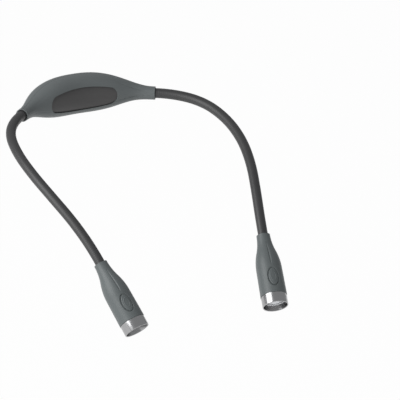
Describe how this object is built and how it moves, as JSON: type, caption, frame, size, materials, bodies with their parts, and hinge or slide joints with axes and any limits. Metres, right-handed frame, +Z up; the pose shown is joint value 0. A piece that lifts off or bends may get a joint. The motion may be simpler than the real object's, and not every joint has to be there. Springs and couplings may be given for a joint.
{
  "type": "neck reading light",
  "caption": "Neck reading light: a crescent housing behind the neck with two flexible goosenecks, each ending in a lamp head with a metal bezel and a push button.",
  "frame": {"origin": "middle of the wearer's neck, level with the two collars of the housing", "axes": "+X to the right, +Y to the back of the neck, where the housing is, +Z up along the neck"},
  "size_m": [0.201, 0.2351, 0.1535],
  "materials": {
    "soft_grey": "soft-touch moulded plastic",
    "panel_dark": "fine matt grain",
    "grip_rubber": "matt silicone overmould",
    "sleeve_rubber": "smooth satin black",
    "spine_steel": "plain steel gooseneck tube",
    "barrel_plastic": "black ABS",
    "bezel_aluminium": "polished and clear anodised",
    "reflector_chrome": "vacuum metallised",
    "lens_clear": "clear polycarbonate disc",
    "board_green": "green solder mask",
    "led_board_white": "white solder mask on aluminium",
    "emitter_yellow": "phosphor dome on a ceramic base",
    "switch_black": "black switch body",
    "cell_wrap": "shrink-wrapped steel can",
    "nickel": "nickel strip",
    "port_steel": "drawn steel shell",
    "port_black": "black liquid-crystal polymer",
    "guide_clear": "frosted clear acrylic",
    "screw_steel": "zinc-plated",
    "lead_jacket": "black two-core lead"
  },
  "bodies": {
    "neck_housing": {"rear_shell": "soft_grey", "front_shell": "soft_grey", "pad_panel": "panel_dark", "housing_screws": "screw_steel", "battery_cell": "cell_wrap", "battery_tabs": "nickel", "charge_board": "board_green", "usb_c_shell": "port_steel", "usb_c_tongue": "port_black", "charge_light_guide": "guide_clear", "left_sleeve_1": "sleeve_rubber", "left_spine_1": "spine_steel", "left_lead": "lead_jacket", "right_sleeve_1": "sleeve_rubber", "right_spine_1": "spine_steel", "right_lead": "lead_jacket"},
    "left_arm_2": {"left_sleeve_2": "sleeve_rubber", "left_spine_2": "spine_steel"},
    "left_arm_3": {"left_sleeve_3": "sleeve_rubber", "left_spine_3": "spine_steel"},
    "left_arm_4": {"left_sleeve_4": "sleeve_rubber", "left_spine_4": "spine_steel"},
    "left_arm_5": {"left_sleeve_5": "sleeve_rubber", "left_spine_5": "spine_steel"},
    "left_arm_6": {"left_sleeve_6": "sleeve_rubber", "left_spine_6": "spine_steel"},
    "left_lamp": {"left_sleeve_7": "sleeve_rubber", "left_spine_7": "spine_steel", "left_grip": "grip_rubber", "left_barrel": "barrel_plastic", "left_bezel": "bezel_aluminium", "left_lens": "lens_clear", "left_reflector": "reflector_chrome", "left_led_board": "led_board_white", "left_led_emitter": "emitter_yellow", "left_tact_switch": "switch_black", "left_switch_board": "board_green"},
    "left_push_button": {"left_button": "grip_rubber"},
    "right_arm_2": {"right_sleeve_2": "sleeve_rubber", "right_spine_2": "spine_steel"},
    "right_arm_3": {"right_sleeve_3": "sleeve_rubber", "right_spine_3": "spine_steel"},
    "right_arm_4": {"right_sleeve_4": "sleeve_rubber", "right_spine_4": "spine_steel"},
    "right_arm_5": {"right_sleeve_5": "sleeve_rubber", "right_spine_5": "spine_steel"},
    "right_arm_6": {"right_sleeve_6": "sleeve_rubber", "right_spine_6": "spine_steel"},
    "right_lamp": {"right_sleeve_7": "sleeve_rubber", "right_spine_7": "spine_steel", "right_grip": "grip_rubber", "right_barrel": "barrel_plastic", "right_bezel": "bezel_aluminium", "right_lens": "lens_clear", "right_reflector": "reflector_chrome", "right_led_board": "led_board_white", "right_led_emitter": "emitter_yellow", "right_tact_switch": "switch_black", "right_switch_board": "board_green"},
    "right_push_button": {"right_button": "grip_rubber"}
  },
  "joints": [
    {"name": "left_bend_1_yaw", "type": "hinge", "parent": "neck_housing", "child": "left_arm_2", "pos_m": [-0.08115, 0.03147, -0.0019], "axis": [-0.0876, -0.1082, 0.9903], "range_deg": [-25, 25], "deforming": ["left_lead"]},
    {"name": "left_bend_2_pitch", "type": "hinge", "parent": "left_arm_2", "child": "left_arm_3", "pos_m": [-0.09313, 0.00821, -0.00807], "axis": [-0.9659, 0.2588, 0], "range_deg": [-25, 25], "deforming": ["left_lead"]},
    {"name": "left_bend_3_yaw", "type": "hinge", "parent": "left_arm_3", "child": "left_arm_4", "pos_m": [-0.09648, -0.01676, -0.01783], "axis": [0, -0.4067, 0.9135], "range_deg": [-25, 25], "deforming": ["left_lead"]},
    {"name": "left_bend_4_pitch", "type": "hinge", "parent": "left_arm_4", "child": "left_arm_5", "pos_m": [-0.09403, -0.04071, -0.03016], "axis": [-0.9781, -0.2079, 0], "range_deg": [-25, 25], "deforming": ["left_lead"]},
    {"name": "left_bend_5_yaw", "type": "hinge", "parent": "left_arm_5", "child": "left_arm_6", "pos_m": [-0.08783, -0.06253, -0.04493], "axis": [0.201, -0.5523, 0.809], "range_deg": [-25, 25], "deforming": ["left_lead"]},
    {"name": "left_bend_6_pitch", "type": "hinge", "parent": "left_arm_6", "child": "left_lamp", "pos_m": [-0.08068, -0.08217, -0.06216], "axis": [-0.9397, -0.342, 0], "range_deg": [-25, 25], "deforming": ["left_lead"]},
    {"name": "left_button_press", "type": "slide", "parent": "left_lamp", "child": "left_push_button", "axis": [0.2009, 0.7749, -0.5993], "range_m": [0, 0.0005], "stiffness_N_per_m": 400, "springref_m": -0.0006},
    {"name": "right_bend_1_yaw", "type": "hinge", "parent": "neck_housing", "child": "right_arm_2", "pos_m": [0.08115, 0.03147, -0.0019], "axis": [0.0876, -0.1082, 0.9903], "range_deg": [-25, 25], "deforming": ["right_lead"]},
    {"name": "right_bend_2_pitch", "type": "hinge", "parent": "right_arm_2", "child": "right_arm_3", "pos_m": [0.09313, 0.00821, -0.00807], "axis": [-0.9659, -0.2588, 0], "range_deg": [-25, 25], "deforming": ["right_lead"]},
    {"name": "right_bend_3_yaw", "type": "hinge", "parent": "right_arm_3", "child": "right_arm_4", "pos_m": [0.09648, -0.01676, -0.01783], "axis": [0, -0.4067, 0.9135], "range_deg": [-25, 25], "deforming": ["right_lead"]},
    {"name": "right_bend_4_pitch", "type": "hinge", "parent": "right_arm_4", "child": "right_arm_5", "pos_m": [0.09403, -0.04071, -0.03016], "axis": [-0.9781, 0.2079, 0], "range_deg": [-25, 25], "deforming": ["right_lead"]},
    {"name": "right_bend_5_yaw", "type": "hinge", "parent": "right_arm_5", "child": "right_arm_6", "pos_m": [0.08783, -0.06253, -0.04493], "axis": [-0.201, -0.5523, 0.809], "range_deg": [-25, 25], "deforming": ["right_lead"]},
    {"name": "right_bend_6_pitch", "type": "hinge", "parent": "right_arm_6", "child": "right_lamp", "pos_m": [0.08068, -0.08217, -0.06216], "axis": [-0.9397, 0.342, 0], "range_deg": [-25, 25], "deforming": ["right_lead"]},
    {"name": "right_button_press", "type": "slide", "parent": "right_lamp", "child": "right_push_button", "axis": [0.208, 0.7255, -0.6561], "range_m": [0, 0.0005], "stiffness_N_per_m": 400, "springref_m": -0.0006}
  ]
}
